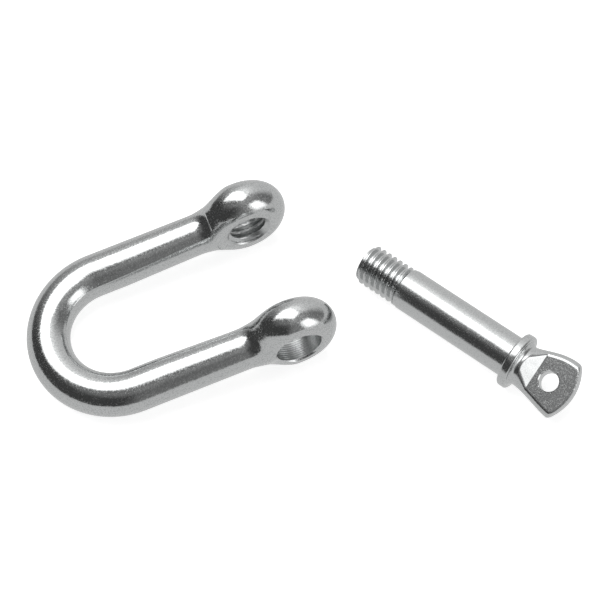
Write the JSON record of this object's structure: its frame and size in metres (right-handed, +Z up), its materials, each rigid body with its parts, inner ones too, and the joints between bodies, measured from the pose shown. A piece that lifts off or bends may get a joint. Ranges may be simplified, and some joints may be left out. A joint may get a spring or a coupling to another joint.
{
  "type": "dee shackle with screw pin",
  "caption": "Forged stainless dee shackle, U-shaped body with two eyes, and its loose threaded pin with collar and holed tab.",
  "frame": {"origin": "middle of the bottom of the common box of both pieces, as they lie on a floor", "axes": "+X along the shackle's legs from its crown to its eyes, +Y along the bores from the plain eye to the tapped eye, +Z up"},
  "size_m": [0.0924, 0.0608, 0.0166],
  "materials": {
    "body_steel": "tumble-polished forged stainless steel with a fine grain",
    "pin_steel": "polished turned stainless steel, with a satin pressed tab"
  },
  "bodies": {
    "body": {"shackle_body": "body_steel"},
    "pin": {"screw_pin": "pin_steel"}
  },
  "joints": [
    {"name": "pin_turn", "type": "hinge", "parent": "body", "child": "pin", "pos_m": [0.01866, 0.0111, 0.00383], "axis": [0.507, -0.8607, 0.046], "continuous": true}
  ]
}
